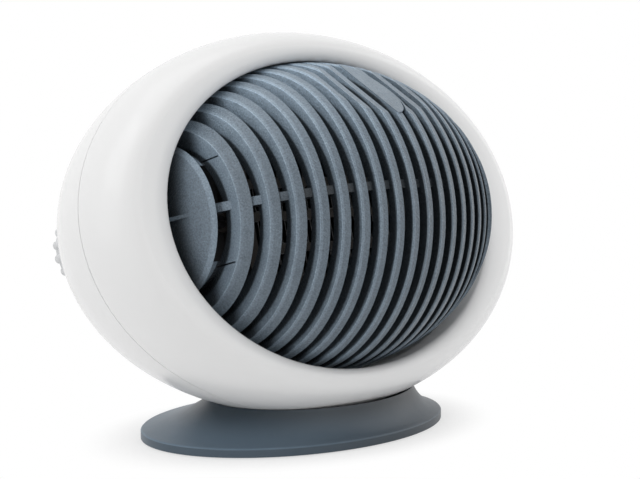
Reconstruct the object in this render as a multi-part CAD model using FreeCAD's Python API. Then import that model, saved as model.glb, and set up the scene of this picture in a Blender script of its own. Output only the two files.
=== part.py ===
import FreeCAD
import Part
import math
import os

from FreeCAD import Vector

# A table-top fan heater: an egg-shaped white shell on a low oval foot, with a
# barrel of dark louvre rings bulging out of its front.
# The body is drawn level, about the barrel's cross axis, with x across, y to
# the rear and z up, and is then tilted back and lifted onto the foot.
# The part's origin is on the table, under the middle of its width and depth.
# All sizes are in millimetres and degrees.

# Stance
axis_height = 104.0
axis_forward = 13.0
tilt = 14.0

# Clearances
seat_gap = 0.2
slip_gap = 0.3
running_gap = 0.05
hole_gap = 0.2

# Egg shell
shell_half_width = 134.0
shell_radius = 92.4
shell_drop = 1.2
shell_wall = 2.5
seam_depth = 2.0
seam_gap = 0.3
crest_front = 25.0
crest_half_width = 120.5
crest_half_height = 79.5
crest_flat = 0.4
throat_front = 20.5
throat_half_width = 104.7
throat_half_height = 74.3
throat_drop = 1.6
mouth_front = 13.0
mouth_half_height = 75.2
mouth_drop = 0.7
mouth_gap = 3.1
sleeve_front = 8.0
sleeve_back = 1.0
sleeve_half_width = 104.0
sleeve_half_height = 76.2
sleeve_wall = 2.5
tongue_length = 4.0
tongue_wall = 1.5
lip_turns = (0, 18, 36, 54, 70, 82)
roll_turns = (14, 32, 52, 72, 90)
hollow_turns = (66, 48, 28)

# Screws and bosses that hold the body together
case_screw_x = 118.0
case_screw_z = 22.0
case_boss_radius = 5.0
case_head_depth = 12.0
case_thread_length = 14.0
grille_screw_x = 60.0
grille_screw_z = 73.0
grille_boss_radius = 4.2
grille_thread_length = 8.0
screw_radius = 1.5
screw_head_radius = 3.0
screw_head_height = 2.2
screw_slot_width = 0.8
screw_slot_depth = 0.9
screw_tip_gap = 1.0

# Louvre barrel
barrel_half_width = 100.0
barrel_radius = 75.0
ring_count = 19
ring_pitch = 9.0
ring_width = 4.0
ring_chamfer = 0.6
blade_depth = 14.0
groove_depth = 11.5
window_half_width = 95.0
window_radius = 70.0
window_offset = 10.0
window_angle = -10.5
window_steps = 12
disc_edge = 90.3
disc_radius = 35.0
disc_lip = 0.8
disc_bevel = 2.0
disc_bevel_rise = 0.9
disc_dome = 6.3
disc_wall = 2.5
disc_groove = 3.0
disc_steps = 10
disc_hub_radius = 6.0
disc_hub_reach = 4.5
fin_reach = 23.5
fin_width = 1.6
slit_lift = 23.0
slit_height = 0.7
slit_depth = 1.5
slit_front = 33.3
slit_back = 16.0
end_window_lift = 21.0
end_window_wall = 0.8
rib_height = 3.8
rib_lift = 0.9
rib_front_depth = 3.4
rib_back_depth = 10.0
badge_angle = 44.5
badge_distance = 71.5
badge_width = 13.0
badge_half_length = 22.0
badge_raise = 0.7
badge_gap = 1.6
badge_band = 2.4
badge_band_drop = 0.8
flange_thickness = 2.5
flange_margin = 6.0
mouth_margin = 1.0

# Fan shroud and heater
shroud_thickness = 3.0
duct_radius = 50.0
duct_wall = 2.5
duct_length = 26.5
arm_count = 4
arm_start = 45.0
arm_width = 8.0
arm_thickness = 3.0
motor_seat_radius = 26.0
heater_half_width = 50.0
heater_half_height = 29.0
heater_depth = 15.5
heater_rim = 6.0
fin_rows = 4
fin_pitch = 3.3
fin_sheet = 0.6
fin_depth = 12.0
bar_height = 4.0
tab_length = 15.0
tab_height = 6.3
tab_sheet = 0.8
ear_width = 9.0
cutout_radius = 7.4
cutout_can_radius = 6.4
cutout_height = 6.0
cutout_brim = 1.5
cutout_x = -28.0
fuse_radius = 2.2
fuse_length = 16.0
fuse_x = 24.0
fuse_cradle = 3.0

# Fan and motor
fan_radius = 47.5
fan_hub_radius = 15.0
fan_front_gap = 6.5
fan_hub_length = 14.0
fan_hub_wall = 2.5
blade_count = 7
blade_sheet = 1.8
blade_pitch = 34.0
shaft_radius = 2.0
motor_radius = 25.0
motor_length = 24.0
motor_wall = 2.0
motor_face = 3.0
motor_cap = 3.0
bush_radius = 5.0
bush_flange_radius = 6.5
bush_flange = 1.0
rotor_radius = 13.0
rotor_length = 14.0
air_gap = 0.8
motor_screw_circle = 18.0
motor_screw_radius = 1.25
motor_screw_head = 2.4
motor_screw_head_height = 1.5
shaft_tail = 3.0

# Rear intake
slot_count = 11
slot_pitch = 7.5
slot_height = 3.6
intake_radius = 44.0
filter_radius = 50.0
filter_thickness = 1.5
filter_seat = 70.0
filter_bar = 1.6
filter_pitch = 8.0
filter_rim = 3.0

# Rotary controls at the rear flanks
knob_x = 82.0
knob_z = 2.2
knob_seat = 61.0
knob_well_radius = 21.8
well_wall = 1.6
well_plate = 3.0
well_inner_end = 42.0
knob_lobes = 18
knob_core_radius = 19.0
knob_lobe_circle = 18.4
knob_lobe_radius = 2.2
knob_gap = 3.0
knob_height = 10.0
knob_crown = 0.8
knob_hollow_radius = 9.0
knob_hollow_depth = 2.6
pointer_width = 1.6
pointer_length = 8.0
pointer_height = 0.5
spindle_radius = 3.0
switch_half = 12.0
switch_depth = 18.0
bushing_radius = 4.5
bushing_length = 7.0
nut_radius = 7.5
nut_height = 2.5

# Cord inlet and terminal block
gland_z = -63.0
gland_seat = 56.5
gland_well_radius = 9.5
gland_plate = 3.0
gland_inner_end = 46.0
gland_collar_radius = 8.0
gland_collar = 3.0
gland_stem_radius = 6.0
gland_bore_radius = 3.5
gland_nut_height = 3.0
block_x = -70.0
block_z = -38.0
block_half_width = 15.0
block_half_height = 7.0
block_depth = 12.0
block_ways = 3
block_well_radius = 2.6

# Foot
foot_half_width = 84.8
foot_half_depth = 61.0
foot_edge = 4.7
foot_bevel = 0.6
foot_lift = 0.6
foot_wall = 3.0
neck_half_width = 57.0
neck_half_depth = 38.0
neck_height = 21.5
waist_half_width = 69.0
waist_half_depth = 48.0
waist_height = 10.8
waist_shift = 6.0
plate_thickness = 2.0
pad_radius = 7.0
pad_height = 1.6
pad_x = 52.0
pad_y = 34.0
foot_screw_x = 34.0
foot_screw_front = 8.0
foot_screw_rear = 20.0
foot_boss_radius = 4.5
foot_boss_height = 13.0
foot_pad_drop = 1.5
plate_post_x = 62.0
plate_post_y = 14.0
plate_post_radius = 3.6

# Values that follow from the sizes above
big = 4.0 * shell_half_width
seam_rear = seam_depth + seam_gap
flange_back = sleeve_back + flange_thickness
shroud_back = flange_back + shroud_thickness
duct_back = shroud_back + duct_length
arm_front = duct_back - arm_thickness
fan_front = shroud_back + fan_front_gap
motor_front = duct_back
motor_back = motor_front + motor_length
cap_back = motor_back + motor_cap
disc_inside = disc_edge - disc_wall
mouth_half_width = barrel_half_width * math.sqrt(1 - (mouth_front / barrel_radius) ** 2) + mouth_gap
disc_hub_end = disc_edge + disc_bevel_rise + disc_dome + disc_hub_reach
badge_left = -ring_width / 2
heater_front = flange_back - heater_depth
fin_height = (2.0 * heater_half_height - (fin_rows - 1) * bar_height) / fin_rows
knob_base = knob_seat + knob_gap
knob_top = knob_base + knob_height
body_shift = Vector(0, -axis_forward, axis_height)
shell_axis_y = -axis_forward - shell_drop * math.sin(math.radians(tilt))
shell_axis_z = axis_height - shell_drop * math.cos(math.radians(tilt))
front_reach = barrel_radius + axis_forward
rear_reach = shell_radius + shell_axis_y
middle_shift = Vector(0, (front_reach - rear_reach) / 2, 0)


# Helpers for the level body frame

def along(x, z, radius, start, end):
    return Part.makeCylinder(radius, end - start, Vector(x, start, z), Vector(0, 1, 0))


def block(x0, x1, y0, y1, z0, z1):
    return Part.makeBox(x1 - x0, y1 - y0, z1 - z0, Vector(x0, y0, z0))


def oval(y, half_width, half_height, z=0.0):
    centre = Vector(0, y, z)
    curve = Part.Ellipse(centre + Vector(half_width, 0, 0), centre + Vector(0, 0, half_height), centre)
    return Part.Wire([curve.toShape()])


def oval_bar(start, end, half_width, half_height, z=0.0):
    return Part.Face(oval(start, half_width, half_height, z)).extrude(Vector(0, end - start, 0))


def spheroid(half_width, radius, centre):
    curve = Part.Ellipse(centre + Vector(half_width, 0, 0), centre + Vector(0, radius, 0), centre)
    arc = Part.Arc(curve, 0.0, math.pi).toShape()
    axis = Part.makeLine(centre - Vector(half_width, 0, 0), centre + Vector(half_width, 0, 0))
    face = Part.Face(Part.Wire([arc, axis]))
    return face.revolve(centre, Vector(1, 0, 0), 360)


def egg(inset):
    centre = Vector(0, 0, -shell_drop)
    return spheroid(shell_half_width - inset, shell_radius - inset, centre)


def corners(x, z, drop=0.0):
    return [(sx * x, sz * z - drop) for sx in (-1, 1) for sz in (-1, 1)]


def united(shapes):
    return shapes[0].fuse(shapes[1:]).removeSplitter()


def level(shape):
    placed = shape.copy()
    placed.rotate(Vector(0, 0, 0), Vector(1, 0, 0), -tilt)
    placed.translate(body_shift)
    return placed


def screw(radius, head_radius, head_height, length):
    # The head's top is at the origin's level and the shank runs along -y.
    head = along(0, 0, head_radius, -head_height, 0)
    shank = along(0, 0, radius, -head_height - length, -head_height)
    slot = block(-head_radius, head_radius, -screw_slot_depth, 0, -screw_slot_width / 2, screw_slot_width / 2)
    return head.fuse(shank).cut(slot).removeSplitter()


def screw_set(places, radius, head_radius, head_height, length):
    one = screw(radius, head_radius, head_height, length)
    return Part.makeCompound([one.translated(place) for place in places])


# Shells

def lip_sections(inset, turns):
    # Quarter-oval run from the girth round to the lip's crest.
    front = crest_front - inset
    side = shell_half_width - inset - crest_half_width
    rise = shell_radius - inset - crest_half_height
    rows = []
    for turn in turns:
        c = math.cos(math.radians(turn))
        s = math.sin(math.radians(turn))
        rows.append((-front * s, crest_half_width + side * c, crest_half_height + rise * c))
    return rows


def seam_section(inset):
    half_width = shell_half_width - inset
    radius = shell_radius - inset
    share = math.sqrt(1 - (seam_depth / radius) ** 2)
    return (seam_depth, half_width * share, radius * share)


def roll_sections():
    # From the lip's crest, inwards and back to the throat.
    roll_width = crest_half_width - throat_half_width
    roll_height = crest_half_height - throat_half_height
    roll_drop = throat_drop - shell_drop
    depth = crest_front - throat_front
    rows = [(-crest_front, crest_half_width - crest_flat, crest_half_height - crest_flat)]
    for turn in roll_turns:
        c = math.cos(math.radians(turn))
        s = math.sin(math.radians(turn))
        rows.append((-throat_front - depth * c, crest_half_width - roll_width * s,
                     crest_half_height - roll_height * s, -shell_drop - roll_drop * s))
    return rows


def lip_skin():
    # The skin's rounds, in order from the seam's outer edge to its inner edge.
    crest = (-crest_front, crest_half_width + crest_flat, crest_half_height + crest_flat)
    outer = [seam_section(0.0)] + lip_sections(0.0, lip_turns) + [crest]
    roll = roll_sections()
    funnel = [roll[-1], (-mouth_front, mouth_half_width, mouth_half_height, -mouth_drop)]
    neck = [funnel[-1], (-sleeve_front, sleeve_half_width, sleeve_half_height, 0.0)]
    sleeve = [neck[-1], (sleeve_back, sleeve_half_width, sleeve_half_height, 0.0)]
    tongue_turn = math.degrees(math.asin(tongue_length / (crest_front - shell_wall)))
    hollow = lip_sections(shell_wall, hollow_turns + (tongue_turn,))
    back = (sleeve_back, sleeve_half_width + sleeve_wall, sleeve_half_height + sleeve_wall, 0.0)
    sleeve_out = [back, (hollow[0][0],) + back[1:]]
    width = shell_half_width - shell_wall - 2 * slip_gap
    height = shell_radius - shell_wall - 2 * slip_gap
    tip = seam_depth + tongue_length
    tongue_in = [(y, width - tongue_wall, height - tongue_wall) for y in (hollow[-1][0], tip)]
    tongue_out = [(y, width, height) for y in (tip, seam_depth)]
    runs = [outer, roll, funnel, neck, sleeve, sleeve_out, hollow, tongue_in, tongue_out]
    steps = [[run[-1], following[0]] for run, following in zip(runs, runs[1:] + runs[:1])]
    return runs + [step for step in steps if step[0] != step[1]]


def lip_round(row):
    # A round of the skin: the shell's middle height holds where the row names none.
    return oval(*row) if len(row) > 3 else oval(*row, -shell_drop)


def sewn(runs):
    faces = []
    for run in runs:
        wires = [lip_round(row) for row in run]
        faces += Part.makeLoft(wires, False, len(wires) == 2).Faces
    skin = Part.makeShell(faces)
    skin.sewShape()
    solid = Part.makeSolid(skin)
    if solid.Volume < 0:
        solid.reverse()
    return solid


def post_start(x, z, radius):
    # Depth at which a round post's outermost side meets the middle of the lip's wall.
    slope = Vector(x / shell_half_width ** 2, 0, z / shell_radius ** 2).normalize()
    x += slope.x * radius
    z += slope.z * radius
    low, high = 0.0, 90.0
    for _ in range(40):
        turn = (low + high) / 2
        y, half_width, half_height = lip_sections(0.0, (turn,))[0]
        inside = (x / half_width) ** 2 + (z / half_height) ** 2 < 1
        low, high = (turn, high) if inside else (low, turn)
    return lip_sections(0.0, (low,))[0][0] + shell_wall / 2


def front_shell():
    posts = []
    holes = []
    for x, z in corners(case_screw_x, case_screw_z):
        start = post_start(x, z, case_boss_radius)
        posts.append(along(x, z - shell_drop, case_boss_radius, start, seam_depth))
        holes.append(along(x, z - shell_drop, screw_radius, seam_depth - case_thread_length, seam_depth))
    for x, z in corners(grille_screw_x, grille_screw_z):
        start = post_start(x, z, grille_boss_radius)
        posts.append(along(x, z - shell_drop, grille_boss_radius, start, sleeve_back))
        holes.append(along(x, z - shell_drop, screw_radius, sleeve_back - grille_thread_length, sleeve_back))
    solid = united([sewn(lip_skin())] + posts)
    return solid.cut(Part.makeCompound(holes))


def well(x, z, seat, radius, plate, inner_end, hole_radius):
    # A flat round seat let into the rear shell: what is added, and what is cut.
    reach = shell_radius + well_wall
    foot = along(x, z, radius + well_wall, inner_end, seat)
    rim = along(x, z, radius + well_wall, seat, reach).common(egg(0.0))
    cuts = [along(x, z, radius, seat, reach),
            along(x, z, radius, inner_end, seat - plate),
            along(x, z, hole_radius, seat - plate, seat)]
    return foot.fuse(rim), cuts


def intake_slots():
    slots = []
    for i in range(slot_count):
        z = (i - (slot_count - 1) / 2) * slot_pitch
        reach = math.sqrt(max(intake_radius ** 2 - z ** 2, slot_pitch ** 2))
        half = reach - slot_height / 2
        start = filter_seat + filter_thickness
        bar = block(-half, half, start, big, z - slot_height / 2, z + slot_height / 2)
        ends = [along(side * half, z, slot_height / 2, start, big) for side in (-1, 1)]
        slots.append(bar.fuse(ends))
    return slots


def foot_boss_places():
    return [(sx * foot_screw_x, y) for sx in (-1, 1) for y in (shell_axis_y - foot_screw_front,
                                                               shell_axis_y + foot_screw_rear)]


def shell_underside(x, y, offset):
    # Height of the egg's underside, grown by offset, above the table.
    width = shell_half_width + offset
    radius = (shell_radius + offset) * math.sqrt(1 - (x / width) ** 2)
    return shell_axis_z - math.sqrt(radius ** 2 - (y - shell_axis_y) ** 2)


def rear_shell():
    outer = egg(0.0)
    keep = block(-big, big, seam_rear, big, -big, big)
    added = []
    cuts = []
    for x in (-knob_x, knob_x):
        boss, gone = well(x, knob_z, knob_seat, knob_well_radius, well_plate, well_inner_end,
                          bushing_radius + hole_gap)
        added.append(boss)
        cuts += gone
    boss, gone = well(0.0, gland_z, gland_seat, gland_well_radius, gland_plate, gland_inner_end,
                      gland_stem_radius + hole_gap)
    added.append(boss)
    cuts += gone
    ring = along(0, 0, filter_radius, filter_seat + filter_thickness, big)
    ring = ring.cut(along(0, 0, filter_radius - filter_rim, filter_seat, big)).common(outer)
    lips = along(0, 0, filter_radius + slip_gap + shell_wall, filter_seat, big)
    lips = lips.cut(along(0, 0, filter_radius + slip_gap, filter_seat - shell_wall, big)).common(outer)
    added += [ring, lips]
    for x, z in corners(case_screw_x, case_screw_z, shell_drop):
        added.append(along(x, z, case_boss_radius, seam_rear, big).common(outer))
        cuts.append(along(x, z, screw_head_radius + slip_gap, case_head_depth, big))
        cuts.append(along(x, z, screw_radius + hole_gap, seam_rear, case_head_depth))
    shell = outer.common(keep).cut(egg(shell_wall))
    shell = united([shell] + added).cut(Part.makeCompound(cuts)).cut(Part.makeCompound(intake_slots()))
    return shell


def footed_rear_shell():
    shell = level(rear_shell())
    outer = level(egg(0.0))
    posts = []
    holes = []
    for x, y in foot_boss_places():
        low = shell_underside(x, y, 0.0)
        top = low + foot_boss_height
        posts.append(Part.makeCylinder(foot_boss_radius, top, Vector(x, y, 0)).common(outer))
        holes.append(Part.makeCylinder(screw_radius, top - shell_wall, Vector(x, y, 0)))
    return united([shell] + posts).cut(Part.makeCompound(holes))


# Louvre barrel

def barrel_height(x):
    return barrel_radius * math.sqrt(1 - (x / barrel_half_width) ** 2)


def ring_places():
    return [(i - (ring_count - 1) / 2) * ring_pitch for i in range(ring_count)]


def disc_face(radius):
    # How far out the end disc's domed face lies.
    return disc_edge + disc_bevel_rise + disc_dome * (1 - (radius / disc_radius) ** 2)


def dome(first, last, depth):
    rows = []
    for i in range(disc_steps + 1):
        radius = first + (last - first) * i / disc_steps
        rows.append((-disc_face(radius) + depth, radius))
    return rows


def barrel_outline():
    # Half outline of the ribbed barrel, from the left end to the right end.
    half = ring_width / 2
    places = ring_places()
    floor = disc_radius - disc_groove
    left = [(-disc_hub_end, 0.0), (-disc_hub_end, disc_hub_radius)]
    left += dome(disc_hub_radius, disc_radius - disc_bevel, 0.0)
    left.append((-disc_edge, disc_radius))
    left.append((-disc_edge + disc_lip, disc_radius - disc_lip))
    left.append((-disc_edge + disc_lip, floor))
    left.append((places[0] - half, floor))
    teeth = []
    for i, x in enumerate(places):
        if i > 0:
            teeth.append((x - half, barrel_height(x - half) - groove_depth))
        teeth.append((x - half, barrel_height(x - half) - ring_chamfer))
        teeth.append((x - half + ring_chamfer, barrel_height(x - half)))
        teeth.append((x + half - ring_chamfer, barrel_height(x + half)))
        teeth.append((x + half, barrel_height(x + half) - ring_chamfer))
        if i < ring_count - 1:
            teeth.append((x + half, barrel_height(x + half) - groove_depth))
    right = [(-x, r) for x, r in reversed(left)]
    hollow = dome(0.0, floor - disc_wall, disc_wall)
    stops = [places[0] + half] + places[1:-1] + [places[-1] - half]
    under = [(x, barrel_height(x) - blade_depth) for x in stops]
    inner = hollow + under + [(-x, r) for x, r in reversed(hollow)]
    return left + teeth + right + list(reversed(inner))


def revolved(points):
    outline = [Vector(x, 0, r) for x, r in points]
    wire = Part.makePolygon(outline + [outline[0]])
    solid = Part.Face(wire).revolve(Vector(0, 0, 0), Vector(1, 0, 0), 360)
    if solid.Volume < 0:
        solid.reverse()
    return solid


def window_void():
    # The open room behind the blades' front edges, a barrel set forward.
    points = [(-disc_inside, 0.0)]
    for i in range(window_steps + 1):
        x = disc_inside * (2 * i / window_steps - 1)
        points.append((x, window_radius * math.sqrt(1 - (x / window_half_width) ** 2) - window_offset))
    points.append((disc_inside, 0.0))
    angle = math.radians(window_angle)
    forward = Vector(0, -math.cos(angle), math.sin(angle))
    return revolved(points).translated(forward * window_offset)


def end_openings():
    # The gap between each end disc and its ring, and two level slits in that ring's outer face.
    openings = []
    face = ring_places()[-1] + ring_width / 2
    edge = disc_edge - disc_lip - end_window_wall
    for side in (-1, 1):
        low, high = sorted((side * face, side * edge))
        openings.append(block(low, high, -disc_radius, -slit_back, -end_window_lift, end_window_lift))
        low, high = sorted((side * (face - slit_depth), side * (face + slit_depth)))
        for z in (-slit_lift, slit_lift):
            openings.append(block(low, high, -slit_front, -slit_back, z - slit_height / 2, z + slit_height / 2))
    return openings


def badge_cut():
    slab = Part.makeBox(big, big, big, Vector(-big / 2, -big / 2, badge_distance))
    slab.rotate(Vector(0, 0, 0), Vector(1, 0, 0), 90 - badge_angle)
    return slab


def badge_bar(margin, top, left=badge_left):
    # An oval, cut straight on its left, that stands on the blades' inner side.
    low = barrel_radius - blade_depth
    length = badge_half_length + margin
    curve = Part.Ellipse(Vector(0, length, 0), Vector(badge_width + margin, 0, 0), Vector(0, 0, 0))
    bar = Part.Face(Part.Wire([curve.toShape()])).extrude(Vector(0, 0, top - low))
    bar = bar.common(Part.makeBox(big, big, big, Vector(left - badge_left, -big / 2, -big / 2)))
    bar.translate(Vector(badge_left, 0, low))
    bar.rotate(Vector(0, 0, 0), Vector(1, 0, 0), 90 - badge_angle)
    return bar


def badge_band_bar():
    # The ring beside the badge bends round it.
    top = badge_distance - badge_band_drop
    left = ring_pitch - ring_width / 2
    return badge_bar(badge_gap + badge_band, top, left).cut(badge_bar(badge_gap, top))


def level_rib():
    start = rib_lift - rib_height / 2
    outer = Part.Ellipse(Vector(barrel_half_width - rib_front_depth, 0, start),
                         Vector(0, barrel_radius - rib_front_depth, start), Vector(0, 0, start))
    inner = Part.Ellipse(Vector(barrel_half_width - rib_back_depth, 0, start),
                         Vector(0, barrel_radius - rib_back_depth, start), Vector(0, 0, start))
    up = Vector(0, 0, rib_height)
    plate = Part.Face(Part.Wire([outer.toShape()])).extrude(up)
    plate = plate.cut(Part.Face(Part.Wire([inner.toShape()])).extrude(up))
    reach = disc_edge - disc_lip / 2
    return plate.common(block(-reach, reach, -big, 0, -big, big))


def end_fins():
    # A gusset on each end disc, from its hub towards the front.
    fins = []
    root = disc_face(fin_reach) - disc_wall / 2
    tip = disc_hub_end - fin_width / 2
    for side in (-1, 1):
        points = []
        for x, y in ((root, 0), (tip, 0), (tip, -disc_hub_radius), (disc_face(fin_reach), -fin_reach),
                     (root, -fin_reach), (root, 0)):
            points.append(Vector(side * x, y, -fin_width / 2))
        fins.append(Part.Face(Part.makePolygon(points)).extrude(Vector(0, 0, fin_width)))
    return fins


def grille_flange(start, end):
    width = sleeve_half_width + flange_margin
    height = sleeve_half_height + flange_margin / 2
    plate = oval_bar(start, end, width, height, -shell_drop)
    ears = []
    holes = []
    for x, z in corners(grille_screw_x, grille_screw_z, shell_drop):
        inner = z - math.copysign(2 * grille_boss_radius, z)
        ears.append(along(x, z, grille_boss_radius, start, end))
        ears.append(block(x - grille_boss_radius, x + grille_boss_radius, start, end,
                          min(z, inner), max(z, inner)))
        holes.append(along(x, z, screw_radius + hole_gap, start, end))
    return united([plate] + ears).cut(Part.makeCompound(holes))


def outlet_grille():
    front = block(-big, big, -big, flange_back, -big, big)
    barrel = revolved(barrel_outline()).common(front)
    barrel = barrel.cut(window_void()).cut(badge_cut())
    barrel = barrel.cut(badge_bar(badge_gap, big, ring_width / 2))
    barrel = barrel.cut(Part.makeCompound(end_openings()))
    badge = [badge_bar(0.0, badge_distance + badge_raise), badge_band_bar()]
    flange = grille_flange(sleeve_back, flange_back)
    inset = blade_depth + mouth_margin
    mouth = oval_bar(sleeve_back, flange_back, barrel_half_width - inset, barrel_radius - inset)
    return united([barrel, flange.cut(mouth), level_rib()] + badge + end_fins())


# Shroud, heater and their small parts

def fan_shroud():
    plate = grille_flange(flange_back, shroud_back)
    throat = block(-heater_half_width, heater_half_width, flange_back, shroud_back,
                   -heater_half_height, heater_half_height)
    throat = throat.common(along(0, 0, duct_radius, flange_back, shroud_back))
    duct = along(0, 0, duct_radius + duct_wall, shroud_back, duct_back)
    duct = duct.cut(along(0, 0, duct_radius, shroud_back, duct_back))
    seat = along(0, 0, motor_seat_radius, arm_front, duct_back)
    arms = []
    for i in range(arm_count):
        arm = block(0, duct_radius + duct_wall / 2, arm_front, duct_back, -arm_width / 2, arm_width / 2)
        arm.rotate(Vector(0, 0, 0), Vector(0, 1, 0), arm_start + 360.0 * i / arm_count)
        arms.append(arm)
    holes = [along(0, 0, bush_flange_radius + slip_gap, arm_front, duct_back)]
    holes += [along(place.x, place.z, motor_screw_radius + hole_gap, arm_front, duct_back)
              for place in motor_screw_places(arm_front)]
    holes += [along(x, 0, screw_radius, flange_back, shroud_back) for x in heater_ear_places()]
    shroud = united([plate.cut(throat), duct, seat] + arms)
    return shroud.cut(Part.makeCompound(holes))


def heater_ear_places():
    reach = heater_half_width + heater_rim + ear_width / 2
    return (-reach, reach)


def heater_frame():
    width = heater_half_width + heater_rim
    height = heater_half_height + heater_rim
    frame = block(-width, width, heater_front, flange_back, -height, height)
    frame = frame.cut(block(-heater_half_width, heater_half_width, heater_front, flange_back,
                            -heater_half_height, heater_half_height))
    ear_reach = width + ear_width
    ear = block(-ear_reach, ear_reach, flange_back - shroud_thickness, flange_back,
                -ear_width / 2, ear_width / 2)
    ear = ear.cut(block(-width, width, heater_front, flange_back, -height, height))
    holes = [along(x, 0, screw_radius + hole_gap, heater_front, flange_back) for x in heater_ear_places()]
    tabs = [tab.makeOffsetShape(hole_gap / 2, 0.001, join=2) for tab in heater_tabs()]
    cradle = block(fuse_x - fuse_length / 2, fuse_x + fuse_length / 2,
                   fin_front(), fin_front() + 2 * fuse_cradle, height, height + fuse_cradle)
    trough = fuse_rod(fuse_radius + hole_gap, 2 * fuse_length)
    return united([frame] + ear.Solids + [cradle]).cut(Part.makeCompound(holes + tabs + [trough]))


def fin_front():
    return heater_front + (heater_depth - fin_depth) / 2


def row_start(row):
    return -heater_half_height + row * (fin_height + bar_height)


def heater_fins():
    # Each row is one folded sheet: slots open in turn at its top and bottom.
    rows = []
    count = int((2 * heater_half_width - 2 * slip_gap) / fin_pitch)
    length = count * fin_pitch + fin_sheet
    for row in range(fin_rows):
        low = row_start(row)
        sheet = block(-length / 2, length / 2, fin_front(), fin_front() + fin_depth, low, low + fin_height)
        slots = []
        for i in range(count):
            x = -length / 2 + fin_sheet + i * fin_pitch
            z = low + (fin_sheet if i % 2 else -fin_sheet)
            slots.append(block(x, x + fin_pitch - fin_sheet, fin_front(), fin_front() + fin_depth,
                               z, z + fin_height))
        rows.append(sheet.cut(Part.makeCompound(slots)))
    return Part.makeCompound(rows)


def bar_middle(index):
    return row_start(index + 1) - bar_height / 2


def heater_bars():
    half = heater_half_width - slip_gap
    bars = []
    for i in range(fin_rows - 1):
        z = bar_middle(i)
        bars.append(block(-half, half, fin_front(), fin_front() + fin_depth,
                          z - bar_height / 2, z + bar_height / 2))
    return Part.makeCompound(bars)


def heater_tabs():
    tabs = []
    middle = fin_front() + fin_depth / 2
    for i in range(fin_rows - 1):
        x = heater_half_width - slip_gap
        z = bar_middle(i)
        tabs.append(block(x, x + tab_length, middle - tab_height / 2, middle + tab_height / 2,
                          z - tab_sheet / 2, z + tab_sheet / 2))
    return tabs


def thermal_cutout():
    seat = heater_half_height + heater_rim
    middle = (heater_front + flange_back) / 2
    can = Part.makeCylinder(cutout_can_radius, cutout_height, Vector(cutout_x, middle, seat))
    brim = Part.makeCylinder(cutout_radius, cutout_brim, Vector(cutout_x, middle, seat))
    top = seat + cutout_height
    legs = []
    for side in (-1, 1):
        x = cutout_x + side * cutout_can_radius / 2
        legs.append(block(x - tab_sheet / 2, x + tab_sheet / 2,
                          middle - tab_height / 2, middle + tab_height / 2, top, top + tab_height))
    return united([can, brim] + legs)


def fuse_rod(radius, length):
    seat = heater_half_height + heater_rim + fuse_cradle
    middle = fin_front() + fuse_cradle
    return Part.makeCylinder(radius, length, Vector(fuse_x - length / 2, middle, seat), Vector(1, 0, 0))


def thermal_fuse():
    return fuse_rod(fuse_radius, fuse_length)


# Fan and motor

def motor_screw_places(y):
    places = []
    for side in (-1, 1):
        places.append(Vector(side * motor_screw_circle, y, 0))
    return places


def fan_impeller():
    hub_back = fan_front + fan_hub_length
    hub = along(0, 0, fan_hub_radius, fan_front, hub_back)
    pocket = along(0, 0, fan_hub_radius - fan_hub_wall, fan_front + 2 * fan_hub_wall, hub_back)
    pocket = pocket.cut(along(0, 0, 2 * shaft_radius + fan_hub_wall, fan_front, hub_back))
    ring = along(0, 0, fan_radius, fan_front, hub_back)
    ring = ring.cut(along(0, 0, fan_hub_radius - fan_hub_wall / 2, fan_front, hub_back))
    blades = []
    for i in range(blade_count):
        middle = (fan_front + hub_back) / 2
        blade = block(fan_hub_radius - fan_hub_wall, big, -big / 2, big / 2,
                      -blade_sheet / 2, blade_sheet / 2)
        blade.rotate(Vector(0, 0, 0), Vector(1, 0, 0), blade_pitch)
        blade.translate(Vector(0, middle, 0))
        blade.rotate(Vector(0, 0, 0), Vector(0, 1, 0), 360.0 * i / blade_count)
        blades.append(blade.common(ring))
    fan = united([hub.cut(pocket)] + blades)
    return fan.cut(along(0, 0, shaft_radius, fan_front, hub_back))


def motor_shaft():
    return along(0, 0, shaft_radius, fan_front, cap_back + shaft_tail)


def motor_case():
    can = along(0, 0, motor_radius, motor_front, motor_back)
    room = along(0, 0, motor_radius - motor_wall, motor_front + motor_face, motor_back)
    holes = [along(0, 0, bush_radius, motor_front, motor_front + motor_face)]
    holes += [along(p.x, p.z, motor_screw_radius, motor_front, motor_front + motor_face)
              for p in motor_screw_places(motor_front)]
    return can.cut(room).cut(Part.makeCompound(holes))


def motor_cap_plate():
    disc = along(0, 0, motor_radius, motor_back, cap_back)
    spigot = along(0, 0, motor_radius - motor_wall - hole_gap, motor_back - motor_wall, motor_back)
    spigot = spigot.cut(along(0, 0, motor_radius - 2 * motor_wall, motor_back - motor_wall, motor_back))
    return united([disc, spigot]).cut(along(0, 0, bush_radius, motor_back, cap_back))


def motor_bushes():
    front = along(0, 0, bush_radius, motor_front, motor_front + motor_face)
    front = front.fuse(along(0, 0, bush_flange_radius, motor_front - bush_flange, motor_front))
    rear = along(0, 0, bush_radius, motor_back, cap_back)
    rear = rear.fuse(along(0, 0, bush_flange_radius, cap_back, cap_back + bush_flange))
    bore = along(0, 0, shaft_radius + running_gap, motor_front - motor_face, cap_back + motor_face)
    return Part.makeCompound([bush.removeSplitter().cut(bore) for bush in (front, rear)])


def rotor_start():
    return (motor_front + motor_face + motor_back - motor_wall - rotor_length) / 2


def motor_rotor():
    start = rotor_start()
    body = along(0, 0, rotor_radius, start, start + rotor_length)
    return body.cut(along(0, 0, shaft_radius, start, start + rotor_length))


def motor_stator():
    start = rotor_start()
    ring = along(0, 0, motor_radius - motor_wall - hole_gap, start, start + rotor_length)
    return ring.cut(along(0, 0, rotor_radius + air_gap, start, start + rotor_length))


# Rear filter, controls and cord inlet

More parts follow.
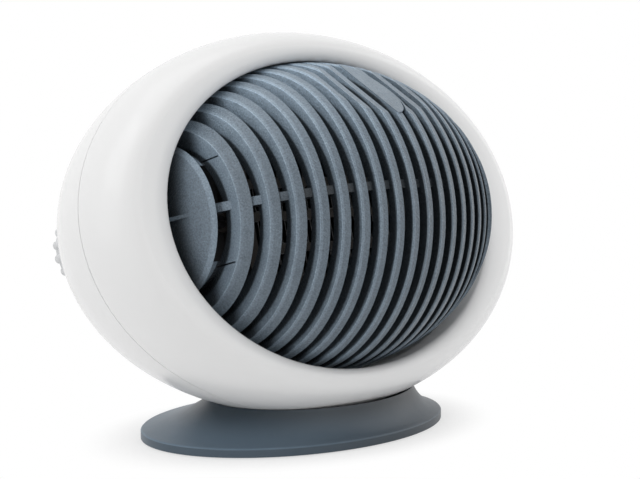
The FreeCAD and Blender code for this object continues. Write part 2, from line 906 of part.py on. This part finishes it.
def intake_filter():
    start = filter_seat
    end = filter_seat + filter_thickness
    disc = along(0, 0, filter_radius, start, end)
    field = along(0, 0, filter_radius - filter_rim, start, end)
    bars = []
    count = int(2 * filter_radius / filter_pitch)
    for i in range(count + 1):
        place = (i - count / 2) * filter_pitch
        bars.append(block(place - filter_bar / 2, place + filter_bar / 2, start, end, -big, big))
        bars.append(block(-big, big, start, end, place - filter_bar / 2, place + filter_bar / 2))
    grid = united(bars)
    return disc.cut(field.cut(grid))


def control_knob(x):
    core = along(0, 0, knob_core_radius, knob_base, knob_top)
    lobes = []
    for i in range(knob_lobes):
        angle = 2 * math.pi * (i + 0.5) / knob_lobes
        lobes.append(along(knob_lobe_circle * math.cos(angle), knob_lobe_circle * math.sin(angle),
                           knob_lobe_radius, knob_base, knob_top - knob_crown))
    crown = [edge for edge in core.Edges if edge.BoundBox.YMin > knob_top - knob_crown]
    core = core.makeChamfer(knob_crown, crown)
    pointer = block(-pointer_width / 2, pointer_width / 2, knob_top, knob_top + pointer_height,
                    knob_core_radius - knob_crown - pointer_length, knob_core_radius - knob_crown)
    knob = united([core] + lobes + [pointer])
    knob = knob.cut(along(0, 0, knob_hollow_radius, knob_base, knob_base + knob_hollow_depth))
    knob = knob.cut(along(0, 0, spindle_radius, knob_base, knob_top - knob_crown))
    return knob.translated(Vector(x, 0, knob_z))


def control_start():
    return knob_seat - well_plate - switch_depth / 2


def control_spindle(x):
    return along(x, knob_z, spindle_radius, control_start(), knob_top - knob_crown)


def switch_body(x):
    front = knob_seat - well_plate
    rear = front - switch_depth
    housing = block(x - switch_half, x + switch_half, rear, front, knob_z - switch_half, knob_z + switch_half)
    bushing = along(x, knob_z, bushing_radius, front, front + bushing_length)
    lugs = []
    for side in (-1, 1):
        middle = x + side * switch_half / 2
        lugs.append(block(middle - tab_height / 2, middle + tab_height / 2, rear - tab_length / 2, rear,
                          knob_z - tab_sheet / 2, knob_z + tab_sheet / 2))
    body = united([housing, bushing] + lugs)
    bore_end = control_start() - slip_gap
    return body.cut(along(x, knob_z, spindle_radius + running_gap, bore_end, front + bushing_length))


def switch_nut(x):
    hexagon = []
    for i in range(7):
        angle = math.pi * i / 3
        hexagon.append(Vector(x + nut_radius * math.cos(angle), knob_seat,
                              knob_z + nut_radius * math.sin(angle)))
    nut = Part.Face(Part.makePolygon(hexagon)).extrude(Vector(0, nut_height, 0))
    return nut.cut(along(x, knob_z, bushing_radius, knob_seat, knob_seat + nut_height))


def gland_inside():
    return gland_seat - gland_plate


def cord_gland():
    collar = along(0, gland_z, gland_collar_radius, gland_seat, gland_seat + gland_collar)
    stem = along(0, gland_z, gland_stem_radius, gland_inside() - gland_nut_height, gland_seat)
    bore = along(0, gland_z, gland_bore_radius, gland_inside() - gland_nut_height, gland_seat + gland_collar)
    return united([collar, stem]).cut(bore)


def gland_nut():
    back = gland_inside()
    nut = along(0, gland_z, gland_collar_radius, back - gland_nut_height, back)
    return nut.cut(along(0, gland_z, gland_stem_radius, back - gland_nut_height, back))


def terminal_block():
    back = shroud_back + block_depth
    body = block(block_x - block_half_width, block_x + block_half_width, shroud_back, back,
                 block_z - block_half_height, block_z + block_half_height)
    pitch = 2 * block_half_width / block_ways
    wells = []
    for i in range(block_ways):
        x = block_x - block_half_width + (i + 0.5) * pitch
        wells.append(along(x, block_z, block_well_radius, back - block_depth / 2, back))
    return body.cut(Part.makeCompound(wells))


def case_screws():
    top = case_head_depth + screw_head_height
    places = [Vector(x, top, z) for x, z in corners(case_screw_x, case_screw_z, shell_drop)]
    length = case_head_depth - seam_depth + case_thread_length - screw_tip_gap
    return screw_set(places, screw_radius, screw_head_radius, screw_head_height, length)


def shroud_screws():
    top = shroud_back + screw_head_height
    places = [Vector(x, top, z) for x, z in corners(grille_screw_x, grille_screw_z, shell_drop)]
    length = shroud_back - sleeve_back + grille_thread_length - screw_tip_gap
    return screw_set(places, screw_radius, screw_head_radius, screw_head_height, length)


def heater_screws():
    # These go in from the front, so the set is turned end for end.
    one = screw(screw_radius, screw_head_radius, screw_head_height, 2 * shroud_thickness)
    one.rotate(Vector(0, 0, 0), Vector(1, 0, 0), 180)
    head = flange_back - shroud_thickness - screw_head_height
    return Part.makeCompound([one.translated(Vector(x, head, 0)) for x in heater_ear_places()])


def motor_screws():
    one = screw(motor_screw_radius, motor_screw_head, motor_screw_head_height, arm_thickness + motor_face)
    one.rotate(Vector(0, 0, 0), Vector(1, 0, 0), 180)
    head = arm_front - motor_screw_head_height
    return Part.makeCompound([one.translated(place) for place in motor_screw_places(head)])


# Foot, drawn upright in the table's frame

def flat_oval(z, half_width, half_depth, y=0.0):
    centre = Vector(0, y, z)
    curve = Part.Ellipse(centre + Vector(half_width, 0, 0), centre + Vector(0, half_depth, 0), centre)
    return Part.Wire([curve.toShape()])


def upright(x, y, radius, low, high):
    return Part.makeCylinder(radius, high - low, Vector(x, y, low))


def flare(inset):
    low = flat_oval(foot_edge, foot_half_width - foot_bevel - inset, foot_half_depth - foot_bevel - inset)
    waist = flat_oval(waist_height, waist_half_width - inset, waist_half_depth - inset, -waist_shift)
    neck = flat_oval(neck_height, neck_half_width - inset, neck_half_depth - inset, shell_axis_y)
    return Part.makeLoft([low, waist, neck], True, False)


def grown_egg(offset):
    return level(egg(-offset))


def foot():
    brow = flat_oval(foot_edge, foot_half_width - foot_bevel, foot_half_depth - foot_bevel)
    girth = flat_oval(foot_edge - foot_bevel, foot_half_width, foot_half_depth)
    edge = Part.makeLoft([girth, brow], True, True)
    rim = Part.Face(flat_oval(foot_lift, foot_half_width, foot_half_depth))
    rim = rim.extrude(Vector(0, 0, foot_edge - foot_bevel - foot_lift))
    solid = united([rim, edge, flare(0.0)]).cut(grown_egg(seat_gap))
    recess = Part.Face(flat_oval(foot_lift, foot_half_width - foot_wall, foot_half_depth - foot_wall))
    recess = recess.extrude(Vector(0, 0, foot_edge - foot_lift))
    hollow = recess.fuse(flare(foot_wall)).cut(grown_egg(seat_gap + foot_wall))
    posts = []
    holes = []
    for x, y in foot_boss_places():
        top = shell_underside(x, y, seat_gap)
        low = top - foot_wall - foot_pad_drop
        posts.append(upright(x, y, foot_boss_radius, low, top + foot_wall).cut(grown_egg(seat_gap)))
        holes.append(upright(x, y, screw_radius + hole_gap, 0, top + foot_wall))
    for x, y in plate_post_places():
        low = foot_lift + plate_thickness
        posts.append(upright(x, y, plate_post_radius, low, neck_height).common(flare(foot_wall / 2)))
        posts.append(upright(x, y, plate_post_radius, low, foot_edge))
        holes.append(upright(x, y, screw_radius, 0, foot_edge + plate_post_radius / 2))
    return united([solid.cut(hollow)] + posts).cut(Part.makeCompound(holes))


def plate_post_places():
    return [(sx * plate_post_x, sy * plate_post_y) for sx in (-1, 1) for sy in (-1, 1)]


def pad_places():
    return [(sx * pad_x, sy * pad_y) for sx in (-1, 1) for sy in (-1, 1)]


def base_plate():
    inset = foot_wall + slip_gap
    plate = Part.Face(flat_oval(foot_lift, foot_half_width - inset, foot_half_depth - inset))
    plate = plate.extrude(Vector(0, 0, plate_thickness))
    cuts = [upright(x, y, pad_radius + hole_gap, 0, pad_height) for x, y in pad_places()]
    cuts += [upright(x, y, screw_radius + hole_gap, 0, big) for x, y in plate_post_places()]
    sink = foot_lift + plate_thickness / 2
    cuts += [upright(x, y, screw_head_radius + hole_gap, 0, sink) for x, y in plate_post_places()]
    return plate.cut(Part.makeCompound(cuts))


def rubber_pads():
    return Part.makeCompound([upright(x, y, pad_radius, 0, pad_height) for x, y in pad_places()])


def rising_screw(length):
    one = screw(screw_radius, screw_head_radius, screw_head_height / 2, length)
    one.rotate(Vector(0, 0, 0), Vector(1, 0, 0), -90)
    return one


def foot_screws():
    screws = []
    for x, y in foot_boss_places():
        top = shell_underside(x, y, seat_gap)
        low = top - foot_wall - foot_pad_drop - screw_head_height / 2
        length = foot_wall + foot_pad_drop + foot_boss_height - 2 * shell_wall
        screws.append(rising_screw(length).translated(Vector(x, y, low)))
    return Part.makeCompound(screws)


def plate_screws():
    low = foot_lift + plate_thickness / 2 - screw_head_height / 2
    length = foot_edge - low
    one = rising_screw(length)
    return Part.makeCompound([one.translated(Vector(x, y, low)) for x, y in plate_post_places()])


def write(name, shape):
    shape.translated(middle_shift).exportStep("parts/" + name + ".step")
    print(name, len(shape.Solids), shape.isValid(), round(shape.Volume / 1000, 2))


os.makedirs("parts", exist_ok=True)

body_parts = {
    "front_shell": front_shell(),
    "outlet_grille": outlet_grille(),
    "fan_shroud": fan_shroud(),
    "heater_frame": heater_frame(),
    "heater_fins": heater_fins(),
    "heater_bars": heater_bars(),
    "heater_tabs": Part.makeCompound(heater_tabs()),
    "thermal_cutout": thermal_cutout(),
    "thermal_fuse": thermal_fuse(),
    "fan_impeller": fan_impeller(),
    "motor_shaft": motor_shaft(),
    "motor_rotor": motor_rotor(),
    "motor_stator": motor_stator(),
    "motor_case": motor_case(),
    "motor_cap": motor_cap_plate(),
    "motor_bushes": motor_bushes(),
    "intake_filter": intake_filter(),
    "thermostat_body": switch_body(-knob_x),
    "thermostat_nut": switch_nut(-knob_x),
    "thermostat_spindle": control_spindle(-knob_x),
    "thermostat_knob": control_knob(-knob_x),
    "mode_switch_body": switch_body(knob_x),
    "mode_switch_nut": switch_nut(knob_x),
    "mode_switch_spindle": control_spindle(knob_x),
    "mode_knob": control_knob(knob_x),
    "cord_gland": cord_gland(),
    "gland_nut": gland_nut(),
    "terminal_block": terminal_block(),
    "case_screws": case_screws(),
    "shroud_screws": shroud_screws(),
    "heater_screws": heater_screws(),
    "motor_screws": motor_screws(),
}
for name, shape in body_parts.items():
    write(name, level(shape))
write("rear_shell", footed_rear_shell())
write("foot", foot())
write("base_plate", base_plate())
write("rubber_pads", rubber_pads())
write("foot_screws", foot_screws())
write("plate_screws", plate_screws())
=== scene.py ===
import bpy
import math
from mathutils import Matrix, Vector

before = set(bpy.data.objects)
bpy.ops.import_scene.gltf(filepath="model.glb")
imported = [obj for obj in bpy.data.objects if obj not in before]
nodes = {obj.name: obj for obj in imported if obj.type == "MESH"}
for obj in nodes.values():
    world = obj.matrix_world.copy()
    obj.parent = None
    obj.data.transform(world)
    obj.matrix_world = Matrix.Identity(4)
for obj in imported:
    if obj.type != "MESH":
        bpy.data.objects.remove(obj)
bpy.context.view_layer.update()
print("frame loaded:", len(nodes), "nodes")


class Wire:
    # one socket of a node tree, with arithmetic
    def __init__(self, tree, socket=None):
        self.tree = tree
        self.socket = socket

    def node(self, kind, settings=None, inputs=None, out=0):
        made = self.tree.nodes.new(kind)
        for key, value in (settings or {}).items():
            setattr(made, key, value)  # first, because settings can change the sockets
        for key, value in (inputs or {}).items():
            if isinstance(value, Wire):
                self.tree.links.new(value.socket, made.inputs[key])
            else:
                made.inputs[key].default_value = value
        return Wire(self.tree, made.outputs[out])

    def math(self, operation, first, second=0.0, third=0.0):
        return self.node("ShaderNodeMath", {"operation": operation}, {0: first, 1: second, 2: third})

    def ramp(self, low, high, first=0.0, second=1.0):
        # eased from first to second while this runs from low to high
        return self.node("ShaderNodeMapRange", {"interpolation_type": "SMOOTHSTEP"},
                         {"Value": self, "From Min": low, "From Max": high,
                          "To Min": first, "To Max": second})

    def __add__(self, other):
        return self.math("ADD", self, other)

    def __radd__(self, other):
        return self.math("ADD", other, self)

    def __sub__(self, other):
        return self.math("SUBTRACT", self, other)

    def __rsub__(self, other):
        return self.math("SUBTRACT", other, self)

    def __mul__(self, other):
        return self.math("MULTIPLY", self, other)

    def __rmul__(self, other):
        return self.math("MULTIPLY", other, self)


def newFinish(name):
    # a bare node tree with its output, ready for a shader
    finish = bpy.data.materials.new(name)
    finish.use_nodes = True
    tree = finish.node_tree
    tree.nodes.clear()
    return finish, Wire(tree), tree.nodes.new("ShaderNodeOutputMaterial")


def place(wire):
    # the point being shaded, in object space
    return wire.node("ShaderNodeTexCoord", out="Object")


def axes(wire):
    # its three coordinates, in metres
    spot = place(wire)
    return [wire.node("ShaderNodeSeparateXYZ", inputs={0: spot}, out=axis) for axis in "XYZ"]


noiseSetup = {
    "patch": {"Detail": 3.0, "Roughness": 0.5},
    "rub": {"Detail": 4.0, "Roughness": 0.6},
    "bump": {"Detail": 3.0, "Roughness": 0.6},
    "speck": {"Detail": 1.0, "Roughness": 0.5},
}
noiseMiddle = 0.5


def grain(wire, scale, kind):
    # noise in object space, scale in features per metre
    inputs = {"Vector": place(wire), "Scale": scale, **noiseSetup[kind]}
    return wire.node("ShaderNodeTexNoise", inputs=inputs, out="Fac")


mixSocket = {"first": 6, "second": 7, "result": 2}  # where a Mix node keeps its colours


def blended(wire, share, first, second):
    # two colours mixed by a share
    return wire.node("ShaderNodeMix", {"data_type": "RGBA"},
                     {"Factor": share, mixSocket["first"]: (*first, 1), mixSocket["second"]: (*second, 1)},
                     out=mixSocket["result"])


def shaded(wire, tone, share):
    # a colour dimmed or raised by a share
    grey = wire.node("ShaderNodeCombineColor", inputs={0: share, 1: share, 2: share})
    return wire.node("ShaderNodeMix", {"data_type": "RGBA", "blend_type": "MULTIPLY"},
                     {"Factor": 1.0, mixSocket["first"]: tone, mixSocket["second"]: grey},
                     out=mixSocket["result"])


plasticIor = 1.46


def mouldedFinish(look, paintedShading=None):
    # plastics, metals and rubber: patchy tone, uneven gloss and a moulded or brushed grain
    finish, wire, output = newFinish(look["name"])
    patch = grain(wire, look["patchScale"], "patch")
    tone = blended(wire, patch, look["dark"], look["light"])
    # painted light and shade, where given, multiply the tone
    if paintedShading:
        tone = shaded(wire, tone, paintedShading(wire, look))
    rub = grain(wire, look["rubScale"], "rub")
    gloss = look["roughness"] + (rub - noiseMiddle) * look["roughnessSwing"]
    height = grain(wire, look["grainScale"], "bump")
    if "pitScale" in look:
        pits = wire.node("ShaderNodeTexVoronoi", {"feature": "F1"},
                         {"Vector": place(wire), "Scale": look["pitScale"]}, out="Distance")
        height = height + pits * look["pitDepth"]
    bump = wire.node("ShaderNodeBump", inputs={"Height": height, "Strength": look["bump"],
                                               "Distance": look["bumpDepth"]})
    shader = wire.node("ShaderNodeBsdfPrincipled",
                       inputs={"Base Color": tone, "Roughness": gloss, "Normal": bump, "IOR": plasticIor,
                               "Metallic": look.get("metallic", 0.0)})
    wire.tree.links.new(shader.socket, output.inputs["Surface"])
    return finish


def dress(finish, *names):
    # one finish alone on each named node
    for name in names:
        slots = nodes[name].data.materials
        slots.clear()
        slots.append(finish)


shellLook = {
    "name": "satinWhiteShell", "dark": (0.87, 0.87, 0.87), "light": (0.90, 0.90, 0.90),
    "patchScale": 14.0, "rubScale": 60.0, "roughness": 0.24, "roughnessSwing": 0.06, "grainScale": 900.0,
    "bump": 0.02, "bumpDepth": 0.0004,
}
dress(mouldedFinish(shellLook), "front_shell", "rear_shell")

barrelLook = {
    "name": "texturedSlateBarrelPaintedLight", "dark": (0.100, 0.130, 0.161), "light": (0.148, 0.188, 0.227),
    "patchScale": 160.0, "rubScale": 300.0, "roughness": 0.38, "roughnessSwing": 0.2, "grainScale": 1300.0,
    "bump": 0.6, "bumpDepth": 0.0006, "pitScale": 900.0, "pitDepth": 0.6,
    "axis": (-0.008555, 0.104), "slope": (0.97030, 0.24192),  # the axis in y and z, and the body's tilt
    "halfWidth": 0.1, "radius": 0.075, "pitch": 0.009, "gap": 0.005,  # the rings' envelope and spacing
    "edge": 0.0016, "edgeWidth": 0.001, "edgeDepth": 0.0012, "edgeHighlightGain": 0.6,  # painted highlight line on each rim
    "rimShadingFall": 40.0,  # painted shading falling across each rim, per metre
    "faceEdge": 0.0017, "faceEnd": 0.0019, "facePaintedLight": 0.6,  # painted light on the rings' left faces
    "lipStart": 0.0145, "lipEnd": 0.0235, "lipShadowTone": 0.3,  # their painted shadow beside the shell's lip
    "turnStart": -0.02, "turnEnd": 0.04, "turnShare": 0.85, "turnPaintedShade": 0.18,  # the barrel's right half, with painted shade
    "grooveStart": -0.0003, "grooveEnd": 0.0011, "groovePaintedShade": 0.13,  # painted shade down each groove
    "topLift": 0.0045, "topPaintedLight": 0.95,  # where that painted shade starts deeper and painted light raises the tone, towards the top
    "padSlope": (0.71325, 0.70091), "padLevel": 0.07185,  # the plain pad's plane, forward and upward
    "discStart": 0.0875, "discFace": 0.0978, "discFall": 5.143,  # the end discs and their domed faces
    "discBack": 0.014, "discFront": 0.025, "discPaintedShade": 0.17, "discPaintedLight": 1.3,  # painted shade at the back, painted light further forward
    "discRim": 0.0324, "discRimEnd": 0.0331, "discRimHighlight": 1.3,  # painted highlight near the edge
    "speckScale": 1300.0, "speckSwing": 0.85,
}


def barrelRadius(wire, look, x):
    # the rings' outer radius at a place along the barrel
    share = x * (1 / look["halfWidth"])
    return wire.math("SQRT", wire.math("MAXIMUM", 1.0 - share * share, 0.0)) * look["radius"]


def barrelPaintedLight(wire, look):
    # painted shade down the grooves, beside the lip, over the right half and at the back of the end discs
    # painted highlights on the rings' edges and the discs' rims, painted light on the rings' left faces,
    # the discs' fronts and the top, and speckled all over
    x, y, z = axes(wire)
    behind = y - look["axis"][0]
    above = z - look["axis"][1]
    forward = above * look["slope"][1] - behind * look["slope"][0]  # along the tilted body
    upward = above * look["slope"][0] + behind * look["slope"][1]
    radius = wire.math("SQRT", behind * behind + above * above)
    depth = barrelRadius(wire, look, x) - radius
    out = wire.math("ABSOLUTE", x)
    beyond = x.ramp(look["turnStart"], look["turnEnd"])
    level = barrelRadius(wire, look, out + look["gap"] * (1.0 - beyond * look["turnShare"]))
    lift = upward.ramp(0.0, look["radius"], 0.0, look["topLift"])
    # painted shade deepening down each groove
    groove = (level - radius - lift).ramp(look["grooveStart"], look["grooveEnd"], 1.0, look["groovePaintedShade"])
    disc = wire.math("GREATER_THAN", out, look["discStart"])
    plane = forward * look["padSlope"][0] + upward * look["padSlope"][1]
    ringed = (1.0 - disc) * wire.math("LESS_THAN", plane, look["padLevel"])
    phase = wire.math("WRAP", x, look["pitch"] / 2, -look["pitch"] / 2)  # zero on each ring's middle
    rim = depth.ramp(0.0, look["edgeDepth"], 1.0, 0.0) * ringed
    beside = wire.math("ABSOLUTE", phase + look["edge"]).ramp(0.0, look["edgeWidth"], 1.0, 0.0)
    face = (0.0 - phase).ramp(look["faceEdge"], look["faceEnd"]) * ringed * (1.0 - beyond)
    # painted light on the left faces, fading to a painted shadow beside the lip
    paintedLipShadow = forward.ramp(look["lipStart"], look["lipEnd"], look["lipShadowTone"], 1.0 + look["facePaintedLight"])
    # painted highlight along each rim's edge, and painted shading falling across each rim
    lit = (1.0 + beside * rim * look["edgeHighlightGain"]) * (1.0 - phase * rim * look["rimShadingFall"])
    lit = lit * (1.0 + face * (paintedLipShadow - 1.0))
    # painted light raising the tone towards the top
    top = upward.ramp(0.0, look["radius"], 1.0, 1.0 + look["topPaintedLight"])
    dome = look["discFace"] - radius * radius * look["discFall"]
    # painted shade at the back of each end disc, painted light further forward and a painted highlight
    # near its rim
    discPaintedShading = forward.ramp(look["discBack"], look["discFront"], look["discPaintedShade"], look["discPaintedLight"])
    discPaintedShading = discPaintedShading * radius.ramp(look["discRim"], look["discRimEnd"], 1.0, look["discRimHighlight"])
    ends = 1.0 + (discPaintedShading - 1.0) * disc * wire.math("LESS_THAN", out, dome)
    specks = grain(wire, look["speckScale"], "speck") - noiseMiddle
    # painted shade over the right half, with speckles of grain all over
    specksAndPaintedShade = (1.0 - beyond * look["turnPaintedShade"]) * (1.0 + specks * look["speckSwing"])
    return groove * lit * ends * top * specksAndPaintedShade


dress(mouldedFinish(barrelLook, barrelPaintedLight), "outlet_grille")

footLook = {
    "name": "satinSlateFootPaintedLight", "dark": (0.046, 0.068, 0.091), "light": (0.056, 0.081, 0.106),
    "patchScale": 40.0, "rubScale": 180.0, "roughness": 0.42, "roughnessSwing": 0.1, "grainScale": 1600.0,
    "bump": 0.12, "bumpDepth": 0.0003,
    "neckStart": 0.006, "neckEnd": 0.018, "rimPaintedLight": 1.35, "neckPaintedShade": 0.45,  # painted shade with height up the flare
    "wallStart": 0.0039, "wallEnd": 0.0041, "wallPaintedShade": 0.72,  # heights at the top of the rim's wall, with painted shade on the wall
    "edge": 0.0044, "edgeWidth": 0.0005, "edgeHighlightTone": 1.35,  # the painted highlight line above it
    "across": (0.7166, -0.6975), "sideStart": -0.035, "sideEnd": 0.065,  # painted light, lighter on the left and darker on the right of the view
    "leftPaintedLight": 1.4, "rightPaintedShade": 0.55,
}


def footPaintedLight(wire, look):
    # painted shade up the flare, down the rim's wall and to the right, with a painted highlight round the
    # rim's edge
    x, y, z = axes(wire)
    # painted shade up the flare and on the rim's wall, a painted highlight at its edge, and painted light
    # falling from left to right
    flare = z.ramp(look["neckStart"], look["neckEnd"], look["rimPaintedLight"], look["neckPaintedShade"])
    wall = z.ramp(look["wallStart"], look["wallEnd"], look["wallPaintedShade"], 1.0)
    edge = wire.math("ABSOLUTE", z - look["edge"]).ramp(0.0, look["edgeWidth"], look["edgeHighlightTone"], 1.0)
    across = x * look["across"][0] + y * look["across"][1]
    side = across.ramp(look["sideStart"], look["sideEnd"], look["leftPaintedLight"], look["rightPaintedShade"])
    return flare * wall * edge * side


dress(mouldedFinish(footLook, footPaintedLight), "foot")

dialLook = {
    "name": "paleDialPlastic", "dark": (0.66, 0.67, 0.68), "light": (0.72, 0.73, 0.74),
    "patchScale": 60.0, "rubScale": 200.0, "roughness": 0.38, "roughnessSwing": 0.1, "grainScale": 1400.0,
    "bump": 0.06, "bumpDepth": 0.0003,
}
dress(mouldedFinish(dialLook), "thermostat_knob", "mode_knob")

innerLook = {
    "name": "mattBlackPlastic", "dark": (0.016, 0.017, 0.019), "light": (0.026, 0.027, 0.03),
    "patchScale": 80.0, "rubScale": 220.0, "roughness": 0.6, "roughnessSwing": 0.15, "grainScale": 1500.0,
    "bump": 0.2, "bumpDepth": 0.0004,
}
dress(mouldedFinish(innerLook), "fan_shroud", "base_plate", "intake_filter", "thermostat_body",
      "mode_switch_body", "cord_gland", "gland_nut", "fan_impeller")

frameLook = {
    "name": "heatProofResin", "dark": (0.03, 0.027, 0.024), "light": (0.045, 0.04, 0.036),
    "patchScale": 90.0, "rubScale": 250.0, "roughness": 0.7, "roughnessSwing": 0.12, "grainScale": 1200.0,
    "bump": 0.25, "bumpDepth": 0.0005,
}
dress(mouldedFinish(frameLook), "heater_frame")

finLook = {
    "name": "foldedFinSheet", "dark": (0.07, 0.072, 0.075), "light": (0.13, 0.133, 0.137),
    "patchScale": 70.0, "rubScale": 400.0, "roughness": 0.36, "roughnessSwing": 0.2, "grainScale": 900.0,
    "bump": 0.12, "bumpDepth": 0.0004, "metallic": 1.0,
}
dress(mouldedFinish(finLook), "heater_fins")

ceramicLook = {
    "name": "unglazedCeramic", "dark": (0.035, 0.033, 0.031), "light": (0.055, 0.051, 0.047),
    "patchScale": 150.0, "rubScale": 300.0, "roughness": 0.8, "roughnessSwing": 0.1, "grainScale": 1400.0,
    "bump": 0.3, "bumpDepth": 0.0005,
}
dress(mouldedFinish(ceramicLook), "heater_bars")

brassLook = {
    "name": "bareBrass", "dark": (0.55, 0.40, 0.17), "light": (0.72, 0.55, 0.26),
    "patchScale": 120.0, "rubScale": 500.0, "roughness": 0.35, "roughnessSwing": 0.2, "grainScale": 1200.0,
    "bump": 0.1, "bumpDepth": 0.0003, "metallic": 1.0,
}
dress(mouldedFinish(brassLook), "heater_tabs", "motor_bushes")

steelLook = {
    "name": "zincPlatedSteel", "dark": (0.40, 0.41, 0.43), "light": (0.58, 0.59, 0.61),
    "patchScale": 150.0, "rubScale": 600.0, "roughness": 0.38, "roughnessSwing": 0.2, "grainScale": 1500.0,
    "bump": 0.12, "bumpDepth": 0.0003, "metallic": 1.0,
}
dress(mouldedFinish(steelLook), "thermal_cutout", "thermal_fuse", "motor_shaft", "motor_rotor",
      "motor_stator", "motor_case", "motor_cap", "thermostat_nut", "thermostat_spindle", "mode_switch_nut",
      "mode_switch_spindle", "case_screws", "foot_screws", "plate_screws")

screwLook = {
    "name": "blackZincScrews", "dark": (0.018, 0.018, 0.02), "light": (0.032, 0.032, 0.035),
    "patchScale": 150.0, "rubScale": 600.0, "roughness": 0.5, "roughnessSwing": 0.2, "grainScale": 1500.0,
    "bump": 0.12, "bumpDepth": 0.0003, "metallic": 1.0,
}
dress(mouldedFinish(screwLook), "shroud_screws", "heater_screws", "motor_screws")

blockLook = {
    "name": "ivoryTerminalResin", "dark": (0.66, 0.63, 0.56), "light": (0.76, 0.73, 0.66),
    "patchScale": 90.0, "rubScale": 250.0, "roughness": 0.5, "roughnessSwing": 0.12, "grainScale": 1300.0,
    "bump": 0.12, "bumpDepth": 0.0003,
}
dress(mouldedFinish(blockLook), "terminal_block")

padLook = {
    "name": "footPadRubber", "dark": (0.018, 0.018, 0.018), "light": (0.035, 0.035, 0.035),
    "patchScale": 200.0, "rubScale": 400.0, "roughness": 0.85, "roughnessSwing": 0.1, "grainScale": 1800.0,
    "bump": 0.35, "bumpDepth": 0.0005,
}
dress(mouldedFinish(padLook), "rubber_pads")
print("finishes made:", len(bpy.data.materials))

fullWhite = (1, 1, 1, 1)


def backdropRays(wire):
    # one where the camera, a reflection or glass looks at the backdrop itself
    seen = wire.node("ShaderNodeLightPath", out="Is Camera Ray")
    mirrored = wire.node("ShaderNodeLightPath", out="Is Glossy Ray")
    through = wire.node("ShaderNodeLightPath", out="Is Transmission Ray")
    return seen + mirrored + through


floorSetup = {
    "reach": 6.0, "white": 0.9,
    "middle": (0.0, 0.0045, 0.0), "spread": (11.8, 16.4, 1.0),  # the shadow's oval round the foot
    "near": 0.97, "far": 1.4, "ownLight": 0.62,
}


def studioFloor():
    # a pale floor that keeps the shadow round the foot and turns white further out
    reach = floorSetup["reach"]
    corners = [(-reach, -reach, 0), (reach, -reach, 0), (reach, reach, 0), (-reach, reach, 0)]
    mesh = bpy.data.meshes.new("studioFloor")
    mesh.from_pydata(corners, [], [(0, 1, 2, 3)])
    floor = bpy.data.objects.new("studioFloor", mesh)
    bpy.context.scene.collection.objects.link(floor)
    finish, wire, output = newFinish("paleFloor")
    white = floorSetup["white"]
    paper = wire.node("ShaderNodeBsdfDiffuse", inputs={"Color": (white, white, white, 1)})
    glow = wire.node("ShaderNodeEmission", inputs={"Color": fullWhite, "Strength": 1.0})
    spot = wire.node("ShaderNodeVectorMath", {"operation": "SUBTRACT"},
                     {0: place(wire), 1: floorSetup["middle"]})
    spot = wire.node("ShaderNodeVectorMath", {"operation": "MULTIPLY"}, {0: spot, 1: floorSetup["spread"]})
    away = wire.node("ShaderNodeVectorMath", {"operation": "LENGTH"}, {0: spot}, out="Value")
    bright = away.ramp(floorSetup["near"], floorSetup["far"], floorSetup["ownLight"], 1.0)
    both = wire.node("ShaderNodeMixShader", inputs={0: backdropRays(wire) * bright, 1: paper, 2: glow})
    wire.tree.links.new(both.socket, output.inputs["Surface"])
    mesh.materials.append(finish)


studioFloor()

lightSet = {
    "frontSoft": {"at": (0.5, -1.5, 0.45), "size": 1.3, "power": 3.0},
    "rightSoft": {"at": (1.4, -0.6, 0.6), "size": 1.2, "power": 3.6},
    "leftSoft": {"at": (-1.5, 0.2, 0.5), "size": 1.1, "power": 2.4},
    "leftTop": {"at": (-1.1, 0.2, 1.4), "size": 1.2, "power": 5.9},
    "topSoft": {"at": (-0.1, 0.1, 1.8), "size": 1.6, "power": 6.3},
}
lightAim = (0, -0.01, 0.1)


def softBox(name, setup):
    # a square lamp that faces the heater
    lamp = bpy.data.lights.new(name, "AREA")
    lamp.shape = "SQUARE"
    lamp.size = setup["size"]
    lamp.energy = setup["power"]
    box = bpy.data.objects.new(name, lamp)
    box.location = setup["at"]
    box.rotation_euler = (Vector(lightAim) - Vector(setup["at"])).to_track_quat("-Z", "Y").to_euler()
    bpy.context.scene.collection.objects.link(box)


for lampName, lampSetup in lightSet.items():
    softBox(lampName, lampSetup)

skySetup = {"light": 0.53}


def studioSky():
    # white to look at, and softer as light on the heater
    world = bpy.data.worlds.new("studioSky")
    world.use_nodes = True
    world.node_tree.nodes.clear()
    wire = Wire(world.node_tree)
    output = world.node_tree.nodes.new("ShaderNodeOutputWorld")
    soft = wire.node("ShaderNodeBackground", inputs={"Color": fullWhite, "Strength": skySetup["light"]})
    white = wire.node("ShaderNodeBackground", inputs={"Color": fullWhite, "Strength": 1.0})
    both = wire.node("ShaderNodeMixShader", inputs={0: backdropRays(wire), 1: soft, 2: white})
    wire.tree.links.new(both.socket, output.inputs["Surface"])
    bpy.context.scene.world = world


studioSky()
print("studio lit")

cameraSetup = {"at": (-0.4335, -0.45766, 0.1364), "turn": -44.23, "dip": 3.95, "lens": 72.06, "film": 36.0,
               "clipStart": 0.01}


def photoCamera():
    # the photo's view: from the front left, looking a little downwards
    lensData = bpy.data.cameras.new("photoCamera")
    lensData.sensor_fit = "HORIZONTAL"
    lensData.sensor_width = cameraSetup["film"]
    lensData.lens = cameraSetup["lens"]
    lensData.clip_start = cameraSetup["clipStart"]
    camera = bpy.data.objects.new("photoCamera", lensData)
    camera.location = cameraSetup["at"]
    camera.rotation_euler = (math.radians(90 - cameraSetup["dip"]), 0, math.radians(cameraSetup["turn"]))
    bpy.context.scene.collection.objects.link(camera)
    bpy.context.scene.camera = camera


photoCamera()
bpy.context.scene.view_settings.view_transform = "Standard"
